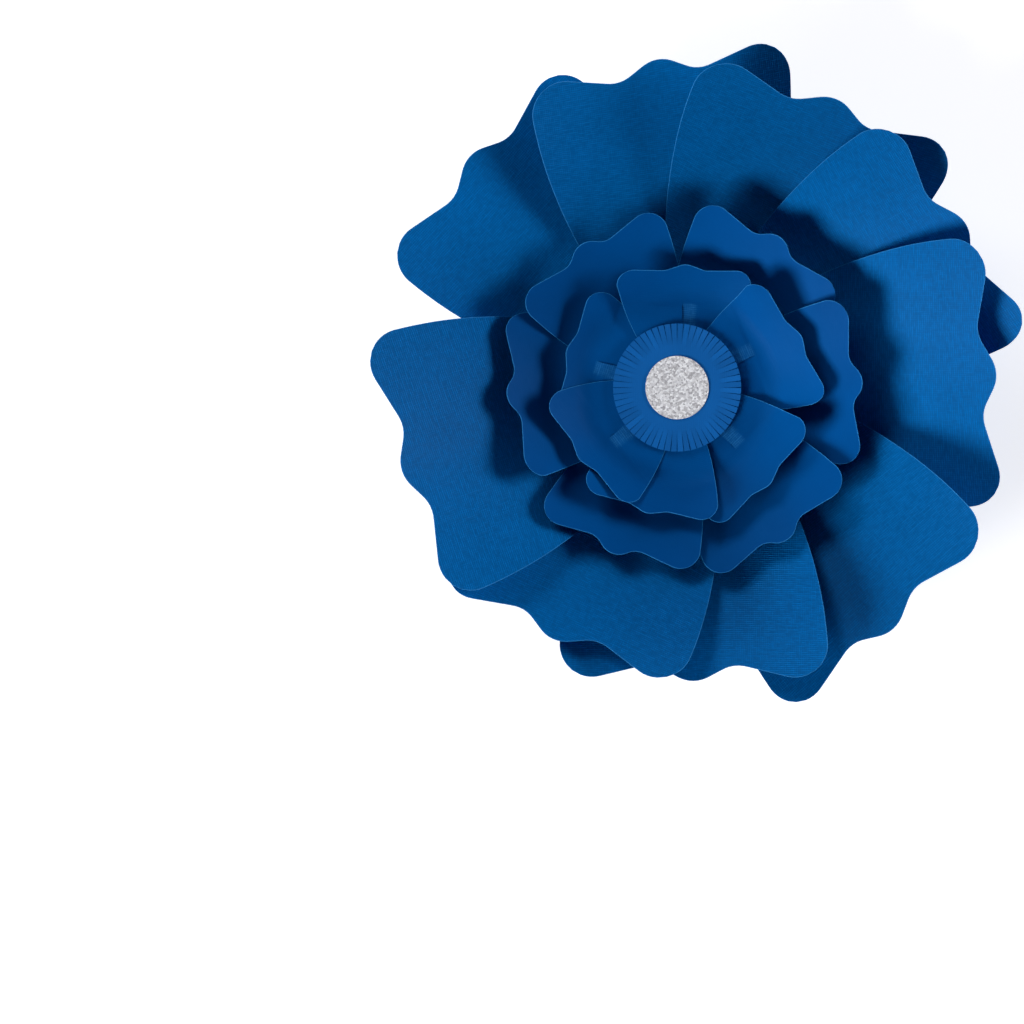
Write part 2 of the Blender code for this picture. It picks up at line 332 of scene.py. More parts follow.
@dataclass(frozen=True)
class CardFinish:
    """Dyed card: linen emboss, uneven tone, each sheet's tone that is partly painted light and shade,
    and a painted highlight where a dart's flat lapped flaps catch the light.
    """

    slot: Slot
    colour: Colour
    emboss_depth: float = 0.00003
    emboss_pitch: float = 0.0013
    emboss_tone: float = 0.04
    mottle_size: float = 0.035
    mottle_tone: float = 0.05
    # Colour of the painted highlight on the flat lapped flaps by a dart's slit.
    fold_highlight_colour: Colour = (0.014, 0.155, 0.430)
    least_highlight: float = 0.25
    roughness: float = 0.50
    roughness_range: float = 0.16
    specular: float = 0.02

    def build(self) -> bpy.types.Material:
        """Make the card's material."""
        material, tree, shader = new_material(self.slot.value)
        uv = add_node(tree, "UVMap", uv_map=UV_NAME).outputs["UV"]
        linen = add_node(tree, "Group", node_tree=Linen().group())
        linen.inputs["Pitch"].default_value = self.emboss_pitch
        tree.links.new(uv, linen.inputs["Vector"])
        mottle = add_node(tree, "Group", node_tree=mottle_group())
        mottle.inputs["Size"].default_value = self.mottle_size
        tree.links.new(uv, mottle.inputs["Vector"])
        dyed = add_node(
            tree, "Mix",
            {
                "Factor": mottle.outputs["Tone"],
                "A": shade(self.colour, 1 - self.mottle_tone),
                "B": shade(self.colour, 1 + self.mottle_tone),
            },
            data_type="RGBA",
        )
        thread = add_node(
            tree, "Mix",
            {
                "Factor": linen.outputs["Tone"],
                "A": shade(WHITE, 1 - self.emboss_tone),
                "B": shade(WHITE),
            },
            data_type="RGBA",
        )
        woven = add_node(
            tree, "Mix", {"Factor": 1.0, "A": dyed.outputs["Result"], "B": thread.outputs["Result"]},
            data_type="RGBA", blend_type="MULTIPLY",
        )
        # Each sheet's tone: partly its own dye, partly painted light and shade.
        sheet_tone_and_light = add_node(tree, "Attribute", attribute_name=TONE_AND_LIGHT_NAME)
        toned_and_lit = add_node(
            tree, "Mix", {"Factor": 1.0, "A": woven.outputs["Result"], "B": sheet_tone_and_light.outputs["Color"]},
            data_type="RGBA", blend_type="MULTIPLY",
        )
        # Painted highlight where the flat lapped flaps by a dart's slit catch the light, grained by the linen.
        fold_highlight = add_node(tree, "Attribute", attribute_name=FOLD_HIGHLIGHT_NAME)
        highlight_grain = add_node(tree, "MapRange", {"Value": linen.outputs["Tone"], "To Min": self.least_highlight})
        painted_highlight = add_node(
            tree, "Math", {0: fold_highlight.outputs["Fac"], 1: highlight_grain.outputs["Result"]}, operation="MULTIPLY"
        )
        highlighted = add_node(
            tree, "Mix",
            {"Factor": painted_highlight.outputs[0], "A": toned_and_lit.outputs["Result"], "B": shade(self.fold_highlight_colour)},
            data_type="RGBA",
        )
        tree.links.new(highlighted.outputs["Result"], shader.inputs["Base Color"])
        rough = add_node(
            tree, "MapRange",
            {
                "Value": linen.outputs["Height"],
                "To Min": self.roughness + self.roughness_range / 2,
                "To Max": self.roughness - self.roughness_range / 2,
            },
        )
        tree.links.new(rough.outputs["Result"], shader.inputs["Roughness"])
        bump = add_node(tree, "Bump", {"Distance": self.emboss_depth, "Height": linen.outputs["Height"]})
        tree.links.new(bump.outputs["Normal"], shader.inputs["Normal"])
        shader.inputs["Specular IOR Level"].default_value = self.specular
        return material


@dataclass(frozen=True)
class CutEdgeFinish:
    """Cut edge of dyed card: on the petals paler, partly the pale fibres and partly a painted highlight that
    also covers a thin strip of the face; on the fringed disc darker, as painted shade round its rim.
    """

    slot: Slot
    colour: Colour
    fibre_size: float = 0.0012
    fibre_tones: tuple[float, float] = (0.75, 1.2)
    roughness: float = 0.8
    specular: float = 0.2

    def build(self) -> bpy.types.Material:
        """Make the edge's material."""
        material, tree, shader = new_material(f"{self.slot.value}_edge")
        uv = add_node(tree, "UVMap", uv_map=UV_NAME).outputs["UV"]
        fibres = add_node(tree, "Group", node_tree=mottle_group())
        fibres.inputs["Size"].default_value = self.fibre_size
        tree.links.new(uv, fibres.inputs["Vector"])
        least, most = self.fibre_tones
        tone = add_node(
            tree, "Mix",
            {
                "Factor": fibres.outputs["Tone"],
                "A": shade(self.colour, least),
                "B": shade(self.colour, most),
            },
            data_type="RGBA",
        )
        tree.links.new(tone.outputs["Result"], shader.inputs["Base Color"])
        shader.inputs["Roughness"].default_value = self.roughness
        shader.inputs["Specular IOR Level"].default_value = self.specular
        return material


@dataclass(frozen=True)
class GlitterFinish:
    """Silver glitter card: grains that each catch the light their own way."""

    slot: Slot = Slot.GLITTER
    grain: float = 0.0012
    dark: Colour = (0.38, 0.37, 0.38)
    light: Colour = WHITE
    roughness: tuple[float, float] = (0.25, 0.6)
    most_metallic: float = 0.25
    facet_strength: float = 0.8
    facet_share: float = 1 / 3

    def build(self) -> bpy.types.Material:
        """Make the glitter material."""
        material, tree, shader = new_material(self.slot.value)
        place = add_node(tree, "TexCoord").outputs["Object"]
        grains = add_node(tree, "TexVoronoi", {"Vector": place, "Scale": 1 / self.grain})
        each = add_node(tree, "SeparateColor", {"Color": grains.outputs["Color"]})
        tone = add_node(
            tree, "Mix",
            {"Factor": each.outputs["Red"], "A": shade(self.dark), "B": shade(self.light)},
            data_type="RGBA",
        )
        tree.links.new(tone.outputs["Result"], shader.inputs["Base Color"])
        smoothest, roughest = self.roughness
        rough = add_node(
            tree, "MapRange", {"Value": each.outputs["Blue"], "To Min": smoothest, "To Max": roughest}
        )
        tree.links.new(rough.outputs["Result"], shader.inputs["Roughness"])
        shine = add_node(tree, "MapRange", {"Value": each.outputs["Green"], "To Max": self.most_metallic})
        tree.links.new(shine.outputs["Result"], shader.inputs["Metallic"])
        bump = add_node(
            tree, "Bump",
            {
                "Strength": self.facet_strength,
                "Distance": self.grain * self.facet_share,
                "Height": each.outputs["Green"],
            },
        )
        tree.links.new(bump.outputs["Normal"], shader.inputs["Normal"])
        return material


@dataclass(frozen=True)
class BoardFinish:
    """Blue board of the base disc, speckled with fibres."""

    colour: Colour = (0.003, 0.085, 0.300)
    speck_size: float = 0.0016
    speck_tone: float = 0.15
    speck_depth: float = 0.0001
    roughness: float = 0.85

    def build(self) -> bpy.types.Material:
        """Make the board's material."""
        material, tree, shader = new_material(Slot.BASE.value)
        place = add_node(tree, "TexCoord").outputs["Object"]
        specks = add_node(tree, "Group", node_tree=mottle_group())
        specks.inputs["Size"].default_value = self.speck_size
        tree.links.new(place, specks.inputs["Vector"])
        tone = add_node(
            tree, "Mix",
            {
                "Factor": specks.outputs["Tone"],
                "A": shade(self.colour, 1 - self.speck_tone),
                "B": shade(self.colour, 1 + self.speck_tone),
            },
            data_type="RGBA",
        )
        tree.links.new(tone.outputs["Result"], shader.inputs["Base Color"])
        bump = add_node(tree, "Bump", {"Distance": self.speck_depth, "Height": specks.outputs["Tone"]})
        tree.links.new(bump.outputs["Normal"], shader.inputs["Normal"])
        shader.inputs["Roughness"].default_value = self.roughness
        return material


def finish_piece(
    node: str, bm: bmesh.types.BMesh, materials: list[bpy.types.Material], thickness: float = 0.0
) -> bpy.types.Object:
    """Turn a bmesh into the piece that stands for a CAD node.

    Args:
        node: CAD node that it stands for.
        bm: Its mesh, in the row's frame; it is freed here.
        materials: Its materials: the face's, and the cut edge's if there is one.
        thickness: Thickness that a single sheet is given, half on each side.

    Returns:
        The piece.
    """
    name = f"{node}_card"
    mesh = bpy.data.meshes.new(name)
    bm.edges.index_update()
    cuts = [edge.index for edge in bm.edges if edge.is_boundary]
    bm.to_mesh(mesh)
    bm.free()
    mesh.shade_smooth()
    mesh.set_sharp_from_angle(angle=SHARP_ANGLE)
    for cut in cuts:
        mesh.edges[cut].use_edge_sharp = True
    for material in materials:
        mesh.materials.append(material)
    piece = bpy.data.objects.new(name, mesh)
    bpy.context.scene.collection.objects.link(piece)
    if thickness:
        solid = piece.modifiers.new("Card", "SOLIDIFY")
        solid.thickness = thickness
        solid.offset = 0.0
        solid.use_even_offset = True
        solid.material_offset_rim = len(materials) - 1
    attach(piece, "root")
    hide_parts(node)
    log.info("%s: %d faces", name, len(mesh.polygons))
    return piece


@dataclass(frozen=True)
class Template:
    """Cut of a petal's wavy end, in shares of half the petal's width, and its angles in degrees."""

    lobe_radius: float = 0.245
    lobe_across: float = 0.755
    notch_across: float = 0.338
    side_angle: float = 97.0
    corner_angle: float = 38.0


@dataclass(frozen=True)
class Net:
    """How finely a half petal is divided, and how wide its strip of pale cut edge and painted highlight is."""

    side_steps: int = 48
    columns: int = 26
    slit_rows: int = 12
    tip_rows: int = 2
    free_rows: int = 44
    strip: float = 0.00035


@dataclass(frozen=True)
class Pose:
    """How a petal's sheet is bent, and where the painted highlight by its slit lies, beyond its ring's own
    sizes.

    Attributes:
        cup_start: Angle to the right of a petal's axis from which it curls up towards its left side.
        last_cup_share: Share of that curl that the last petal of a ring has on both sides.
        ridge: Angle over which the middle of a ring's first or last petal is rounded.
        opening_start: Share of the ring's slit_end past which the lean and the curl grow.
        dart_angle: Angle of the dart that the lapped flaps take up, in degrees.
        slit_tip: Length over which the slit closes.
        patch_end: From and to where the painted highlight fades out past the slit's end.
        patch_side: From and to where it fades out across the sheet.
    """

    cup_start: float = math.radians(8.6)
    last_cup_share: float = 0.35
    ridge: float = math.radians(3.0)
    opening_start: float = 0.8
    dart_angle: float = 10.0
    slit_tip: float = 0.004
    patch_end: tuple[float, float] = (-0.0010, 0.0005)
    patch_side: tuple[float, float] = (0.0075, 0.0095)


@dataclass
class PetalRing:
    """One ring of petals, all cut with one template and glued clockwise, each over the one before.

    The tuples have one value for each petal, in the order of gluing.

    Attributes:
        name: Start of the petals' node names.
        slot: Material slot of the card.
        centre: Middle of the ring, seen from above.
        bearings: Where each petal points, in degrees from +X.
        reach_trims: What is added to the reach.
        spreads: Share of the width that each petal has.
        draws: How far the free part is drawn in for each metre to the left of a petal's axis.
        tones_and_painted_light: Tone of each sheet, as a share of the card's colour: partly its own dye and
            partly painted light and shade.
        reach: Distance from the ring's middle to the tips of a petal's lobes.
        width: Width of a petal between its sides.
        base_end: Distance from the middle to the petal's inner end.
        base_width: Width of that end.
        slit_end: Distance from the middle to the outer end of the slit, where the sheet starts to rise.
        rise_angle: Slope of the raised part, in degrees.
        bend_radius: Radius of the bend between the flat part and the slope.
        edge_lift: Extra height of the left edge where the petal is widest.
        open_tilt: Growth of the sideways lean towards the tip, in metres for each radian.
        shoulder: Place of the side curve's handle, as shares of its length and of its end's distance across.
        crown: Reach of the middle bump past the lobes, in shares of half the width.
        notch: Depth of the notches beside it, in the same shares.
        fold_highlight_sides: Side of each petal with a painted highlight on the flat lapped flap by its slit:
            1 for the left, -1 for the right.
        template: Cut of the waved end.
        net: How finely it is divided.
        pose: How it is bent.
        level: Height of the glued zone's middle, set by sit_on.
    """

    name: str
    slot: Slot
    centre: Vector
    bearings: tuple[float, ...]
    reach_trims: tuple[float, ...]
    spreads: tuple[float, ...]
    draws: tuple[float, ...]
    tones_and_painted_light: tuple[float, ...]
    reach: float
    width: float
    base_end: float
    base_width: float
    slit_end: float
    rise_angle: float
    bend_radius: float
    edge_lift: float
    open_tilt: float
    shoulder: tuple[float, float]
    crown: float
    notch: float
    fold_highlight_sides: tuple[int, ...] = ()
    template: Template = Template()
    net: Net = Net()
    pose: Pose = Pose()
    level: float = 0.0

    @property
    def tilt(self) -> float:
        """Rise for each radian round the ring that lifts a petal clear of the one under it."""
        turns = [a - b for a, b in zip(self.bearings, self.bearings[1:])]
        turns.append(self.bearings[-1] + 360 - self.bearings[0])
        return (PITCH + FLAP_STEP) / math.radians(min(turns))

    @property
    def band(self) -> float:
        """Height that the glued zone's tilt takes up, above or below its middle."""
        return self.tilt * math.atan2(self.base_width / 2, self.base_end) + FLAP_STEP

    @property
    def cup(self) -> float:
        """Lift of a petal's free edge for each square radian past the start of the cup."""
        lobe_back = self.reach - self.template.lobe_radius * self.width / 2
        return self.edge_lift / (math.atan2(self.width / 2, lobe_back) + self.pose.cup_start) ** 2

    def role(self, index: int) -> Role:
        """Where a petal lies among its neighbours."""
        if index == 0:
            return Role.FIRST
        return Role.LAST if index == len(self.bearings) - 1 else Role.NEXT

    def sit_on(self, below: float) -> float:
        """Set the ring's level on what lies below and return the height of its top."""
        self.level = below + GAP + SHEET / 2 + self.band
        return self.level + self.band + SHEET / 2

    def cut_lines(self, reach: float) -> tuple[list[Vector], list[Vector]]:
        """Cut edge of half a petal.

        Args:
            reach: Distance from the ring's middle to the tips of the petal's lobes.

        Returns:
            The side, from the base to the lobe's corner, and the waved end, from the middle to that corner.
        """
        cut = self.template
        size = self.width / 2
        radius = cut.lobe_radius * size
        lobe = Vector((reach - radius, cut.lobe_across * size))
        notch = Vector((reach - self.notch * size + radius, cut.notch_across * size))
        bump = Vector((reach + self.crown * size - radius, 0.0))
        lobe_end = joining_angle(lobe, notch, radius, 1)
        notch_end = joining_angle(notch, bump, radius, -1) % 360
        corner = Vector((self.base_end, self.base_width / 2))
        side_end = lobe + radius * direction(cut.side_angle)
        along, across = self.shoulder
        shoulder = Vector((corner.x + along * (side_end.x - corner.x), across * side_end.y))
        # The side has one handle, the shoulder. These two handles draw the same curve.
        curve = interpolate_bezier(
            corner,
            corner.lerp(shoulder, 2 / 3),
            side_end.lerp(shoulder, 2 / 3),
            side_end,
            self.net.side_steps,
        )
        side = [Vector(point[:2]) for point in curve]
        side += arc(lobe, radius, cut.side_angle, cut.corner_angle)[1:]
        end = arc(bump, radius, 0.0, notch_end - 180)
        end += arc(notch, radius, notch_end, lobe_end + 180)
        end += arc(lobe, radius, lobe_end, cut.corner_angle)
        end[0].y = 0.0
        return side, end

    def axis_points(self, tip: float) -> list[Vector]:
        """Points down a half petal's inner side: the flap's edge, the slit's tip and the fold."""
        net = self.net
        lap = (self.slit_end - self.base_end) * math.tan(math.radians(self.pose.dart_angle / 2))
        slit_start = Vector((self.slit_end - self.pose.slit_tip, GAP / 2))
        slit_base = Vector((self.base_end, -lap))
        fold = Vector((self.slit_end, 0.0))
        end = Vector((tip, 0.0))
        points = [slit_base.lerp(slit_start, i / net.slit_rows) for i in range(net.slit_rows)]
        points += [slit_start.lerp(fold, i / net.tip_rows) for i in range(net.tip_rows)]
        points += [fold.lerp(end, i / net.free_rows) for i in range(net.free_rows + 1)]
        points[-2] = end - Vector((net.strip, 0.0))
        return points

    def flat_half(self, reach: float) -> list[list[Vector]]:
        """Flat half petal, blended between its four edges.

        Args:
            reach: Distance from the ring's middle to the tips of the petal's lobes.

        Returns:
            Rows of points from the base to the waved end, each from the slit or the axis to the side.
        """
        side, end = self.cut_lines(reach)
        axis = self.axis_points(end[0].x)
        along = [(point.x - axis[0].x) / (axis[-1].x - axis[0].x) for point in axis]
        across = [j / self.net.columns for j in range(self.net.columns + 1)]
        across[-2] = 1 - self.net.strip / (self.width / 2)
        sides = spread(side, along)
        base = spread([axis[0], side[0]], across)
        ends = spread(end, across)
        rows = []
        for i, s in enumerate(along):
            row = []
            for j, t in enumerate(across):
                ruled = axis[i].lerp(sides[i], t) + base[j].lerp(ends[j], s)
                corners = axis[0].lerp(sides[0], t).lerp(axis[-1].lerp(sides[-1], t), s)
                row.append(ruled - corners)
            rows.append(row)
        return rows

    def rise(self, radius: float) -> float:
        """Height above the glued zone: level, then a round bend, then a straight slope."""
        run = max(0.0, radius - self.slit_end)
        slope = math.radians(self.rise_angle)
        bend_run = self.bend_radius * math.sin(slope)
        if run < bend_run:
            return self.bend_radius - math.sqrt(self.bend_radius ** 2 - run ** 2)
        return self.bend_radius * (1 - math.cos(slope)) + (run - bend_run) * math.tan(slope)

    def lean(self, radius: float, angle: float, role: Role) -> float:
        """Height that a petal gains sideways, so that each lies over the one before it."""
        opening = smooth_step(self.pose.opening_start * self.slit_end, self.reach, radius)
        tilt = self.tilt + self.open_tilt * opening
        ridge = math.sqrt(angle ** 2 + self.pose.ridge ** 2)
        cup = self.cup * opening
        if role is Role.FIRST:
            return -tilt * ridge
        if role is Role.LAST:
            return tilt * ridge + self.pose.last_cup_share * cup * angle ** 2
        return tilt * angle + cup * max(0.0, angle + self.pose.cup_start) ** 2

    def bend(self, index: int, point: Vector, side: int) -> Vector:
        """Place one point of a flat half petal: the flaps lap, and the sheet rises and leans.

        Args:
            index: Number of the petal in its ring, from 0.
            point: Point of the flat half petal, along and across.
            side: 1 for the half on the petal's left, -1 for the other.

        Returns:
            The point in the row's frame.
        """
        along, across = point.x, side * point.y * self.spreads[index]
        radius = math.hypot(along, across)
        angle = math.atan2(across, along)
        flap = FLAP_STEP * smooth_step(0.0, self.pose.slit_tip, self.slit_end - along)
        height = self.level + self.rise(radius) + self.lean(radius, angle, self.role(index)) + side * flap
        drawn = along - self.draws[index] * across * smooth_step(self.slit_end, self.reach, along)
        turn = math.radians(self.bearings[index])
        x = self.centre.x + drawn * math.cos(turn) - across * math.sin(turn)
        y = self.centre.y + drawn * math.sin(turn) + across * math.cos(turn)
        return Vector((x, y, height))

    def fold_highlight(self, index: int, point: Vector, side: int) -> float:
        """How strongly the painted highlight on a dart's flat lapped flap shows at a point, from 0 to 1."""
        if not self.fold_highlight_sides or self.fold_highlight_sides[index] != side:
            return 0.0
        inside = 1 - smooth_step(*self.pose.patch_end, point.x - self.slit_end)
        return inside * (1 - smooth_step(*self.pose.patch_side, point.y))

    def petal(self, index: int, materials: list[bpy.types.Material]) -> bpy.types.Object:
        """Build one petal: two half sheets, bent, and joined outside the slit.

        Args:
            index: Number of the petal in its ring, from 0.
            materials: The card's material and its cut edge's.

        Returns:
            The finished piece.
        """
        flat = self.flat_half(self.reach + self.reach_trims[index])
        rows, columns = len(flat) - 1, len(flat[0]) - 1
        bm = bmesh.new()
        uv_layer = bm.loops.layers.uv.new(UV_NAME)
        fold_highlight_layer = bm.verts.layers.float.new(FOLD_HIGHLIGHT_NAME)
        tone_and_light_layer = bm.verts.layers.float.new(TONE_AND_LIGHT_NAME)
        for side in (1, -1):
            made = bmesh.ops.create_grid(bm, x_segments=columns, y_segments=rows, size=0.5)
            cells = {
                vert: (round((vert.co.y + 0.5) * rows), round((vert.co.x + 0.5) * columns))
                for vert in made["verts"]
            }
            faces = {face for vert in cells for face in vert.link_faces}
            for face in faces:
                spots = [cells[vert] for vert in face.verts]
                at_end = min(i for i, j in spots) == rows - 1
                at_side = min(j for i, j in spots) == columns - 1
                # The last row and column take the cut edge's colour, partly pale fibres and partly a painted
                # highlight.
                face.material_index = int(at_end or at_side)
                for loop in face.loops:
                    i, j = cells[loop.vert]
                    loop[uv_layer].uv = (flat[i][j].x, side * flat[i][j].y)
            for vert, (i, j) in cells.items():
                # Painted highlight on the flat lapped flap by the slit.
                vert[fold_highlight_layer] = self.fold_highlight(index, flat[i][j], side)
                # Sheet tone, partly dye and partly painted light and shade.
                vert[tone_and_light_layer] = self.tones_and_painted_light[index]
                vert.co = self.bend(index, flat[i][j], side)
            if side > 0:
                bmesh.ops.reverse_faces(bm, faces=list(faces))
        bmesh.ops.remove_doubles(bm, verts=bm.verts, dist=MERGE_DISTANCE)
        bm.normal_update()
        if sum(face.normal.z for face in bm.faces) < 0:
            bmesh.ops.reverse_faces(bm, faces=bm.faces[:])
        return finish_piece(f"{self.name}_petal_{index + 1}", bm, materials, SHEET)

    def build(self, card: CardFinish, edge: CutEdgeFinish) -> None:
        """Build every petal of the ring."""
        materials = [card.build(), edge.build()]
        for index in range(len(self.bearings)):
            self.petal(index, materials)


@dataclass
class BaseDisc:
    """Board disc behind the flower, on which the outer petals are glued."""

    diameter: float = 0.130
    thickness: float = 0.0010
    edge_round: float = 0.00025
    round_steps: int = 3
    facets: int = 144

    def build(self, finish: BoardFinish) -> None:
        """Build the disc with its edges rounded by handling."""
        bm = bmesh.new()
        bmesh.ops.create_cone(
            bm,
            cap_ends=True,
            segments=self.facets,
            radius1=self.diameter / 2,
            radius2=self.diameter / 2,
            depth=self.thickness,
            matrix=Matrix.Translation((0.0, 0.0, self.thickness / 2)),
        )
        rims = [
            edge for edge in bm.edges
            if abs(edge.verts[0].co.z - edge.verts[1].co.z) < self.thickness / 4
        ]
        bmesh.ops.bevel(
            bm,
            geom=rims,
            offset=self.edge_round,
            affect="EDGES",
            segments=self.round_steps,
            profile=0.5,
            material=-1,
        )
        finish_piece("base_disc", bm, [finish.build()])


@dataclass
class FlowerCentre:
    """Fringed disc and glitter disc in the middle of the flower.

    Attributes:
        bottom: Height of the fringed disc's back.
        middle: Middle of both discs, seen from above.
        fringe_diameter: Width of the fringed disc.
        slit_radius: Distance from the middle at which the slits start.
        strips: Number of strips in the fringe.
        slit_width: Width of a slit at the rim.
        lift: Most that the end of a strip rises.
        least_lift: Share of it that every strip rises at least.
        twist: Most that one corner of a strip's end lies over the end's middle.
        curl: Power with which a strip's height grows along it.
        uneven_tone: Most that a strip is darker or lighter than the card.
        seed: Seed of the lifts and twists; the tones have the next one.
        shares: How far along a strip its crossing edges lie.
        glitter_diameter: Width of the glitter disc.
        glitter_thickness: Its thickness.
        glitter_facets: Number of sides of its outline.
    """

    bottom: float
    middle: Vector
    fringe_diameter: float = 0.083
    slit_radius: float = 0.027
    strips: int = 60
    slit_width: float = 0.0006
    lift: float = 0.0014
    least_lift: float = 0.7
    twist: float = 0.0003
    curl: float = 1.5
    uneven_tone: float = 0.11
    seed: int = 7
    shares: tuple[float, ...] = (0.25, 0.5, 0.75, 1.0)
    glitter_diameter: float = 0.041
    glitter_thickness: float = 0.0005
    glitter_facets: int = 128

    def halfway(self, line: bmesh.types.BMEdge) -> Vector:
        """Middle of an edge, from the flower's middle, seen from above."""
        return (line.verts[0].co + line.verts[1].co).xy / 2 - self.middle

    def place_round(self, line: bmesh.types.BMEdge) -> float:
        """Share of a full turn at which an edge lies round the disc."""
        middle = self.halfway(line)
        return math.atan2(middle.y, middle.x) / math.tau % 1.0

    def side_of(self, vert: bmesh.types.BMVert, halfway: Vector) -> int:
        """1 for a corner on a strip's left, seen from the middle, and -1 for one on its right."""
        return 1 if halfway.cross(vert.co.xy - self.middle) > 0 else -1

    def strip_place(self, root: Vector, side: int, share: float, lift: float, twist: float) -> Vector:
        """Where a corner of a strip lies when the strip is cut, lifted and twisted.

        Args:
            root: The corner at the foot of the strip, in the row's frame.
            side: 1 for the strip's left side, seen from the middle, and -1 for its right.
            share: How far along the strip the corner is, from 0 to 1.
            lift: Rise of the strip's end.
            twist: Rise of the end's left corner over the middle of its end.

        Returns:
            The corner's place.
        """
        foot = root.xy - self.middle
        rim = self.fringe_diameter / 2
        radius = self.slit_radius + share * (rim - self.slit_radius)
        cut = side * share * math.degrees(self.slit_width / 2 / rim)
        spot = self.middle + radius * direction(math.degrees(math.atan2(foot.y, foot.x)) - cut)
        height = root.z + (lift + abs(twist)) * share ** self.curl + side * twist * share
        return Vector((*spot, height))

    def fringed_disc(self, card: CardFinish, edge: CutEdgeFinish) -> None:
        """Build the disc with slits all round; each strip is lifted and twisted a little."""
        chance = random.Random(self.seed)
        tone_chance = random.Random(self.seed + 1)
        bm = bmesh.new()
        layer = bm.loops.layers.uv.new(UV_NAME)
        tone_and_light_layer = bm.verts.layers.float.new(TONE_AND_LIGHT_NAME)
        bmesh.ops.create_circle(
            bm,
            cap_ends=True,
            cap_tris=True,
            segments=self.strips,
            radius=self.slit_radius,
            matrix=Matrix.Translation((*self.middle, self.bottom + SHEET / 2)),
        )
        for vert in bm.verts:
            vert[tone_and_light_layer] = 1.0
        feet = [line for line in bm.edges if line.is_boundary]
        feet.sort(key=self.place_round)
        for foot in feet:
            lift = self.lift * chance.uniform(self.least_lift, 1.0)
            twist = self.twist * chance.uniform(-1.0, 1.0)
            tone = 1 + self.uneven_tone * tone_chance.uniform(-1.0, 1.0)
            halfway = self.halfway(foot)
            roots = {self.side_of(vert, halfway): vert.co.copy() for vert in foot.verts}
            front = foot
            for share in self.shares:
                made = bmesh.ops.extrude_edge_only(bm, edges=[front])
                ends = [item for item in made["geom"] if isinstance(item, bmesh.types.BMVert)]
                for vert in ends:
                    side = self.side_of(vert, halfway)
                    vert.co = self.strip_place(roots[side], side, share, lift, twist)
                    vert[tone_and_light_layer] = tone
                front = bm.edges.get(ends)
        bmesh.ops.recalc_face_normals(bm, faces=bm.faces[:])
        for face in bm.faces:
            for loop in face.loops:
                loop[layer].uv = loop.vert.co.xy
        finish_piece("fringed_disc", bm, [card.build(), edge.build()], SHEET)

    def glitter_disc(self, glitter: GlitterFinish) -> None:
        """Build the small round disc of glitter card."""
        bm = bmesh.new()
        bottom = self.bottom + PITCH
        bmesh.ops.create_cone(
            bm,
            cap_ends=True,
            segments=self.glitter_facets,
            radius1=self.glitter_diameter / 2,
            radius2=self.glitter_diameter / 2,
            depth=self.glitter_thickness,
            matrix=Matrix.Translation((*self.middle, bottom + self.glitter_thickness / 2)),
        )
        finish_piece("glitter_disc", bm, [glitter.build()])


def shown(tree: bpy.types.NodeTree) -> bpy.types.NodeSocket:
    """1 where a surface is seen, also in a reflection or through glass, and 0 where it only lights."""
    path = add_node(tree, "LightPath").outputs
    mirrored = add_node(
        tree, "Math", {0: path["Is Glossy Ray"], 1: path["Is Transmission Ray"]}, operation="ADD"
    )
    return add_node(
        tree, "Math", {0: path["Is Camera Ray"], 1: mirrored.outputs[0]}, operation="ADD", use_clamp=True
    ).outputs[0]


@dataclass(frozen=True)
class SoftBox:
    """Square lamp aimed at the flower."""

    name: str
    bearing: float
    elevation: float
    watts: float
    size: float = 2.3
    distance: float = 5.5

    def build(self) -> None:
        """Hang the lamp."""
        data = bpy.data.lights.new(self.name, "AREA")
        data.energy = self.watts
        data.size = self.size
        lamp = bpy.data.objects.new(self.name, data)
        lifted = math.radians(self.elevation)
        place = Vector((*(direction(self.bearing) * math.cos(lifted)), math.sin(lifted))) * self.distance
        lamp.location = place
        lamp.rotation_euler = place.to_track_quat("Z", "Y").to_euler()
        bpy.context.scene.collection.objects.link(lamp)


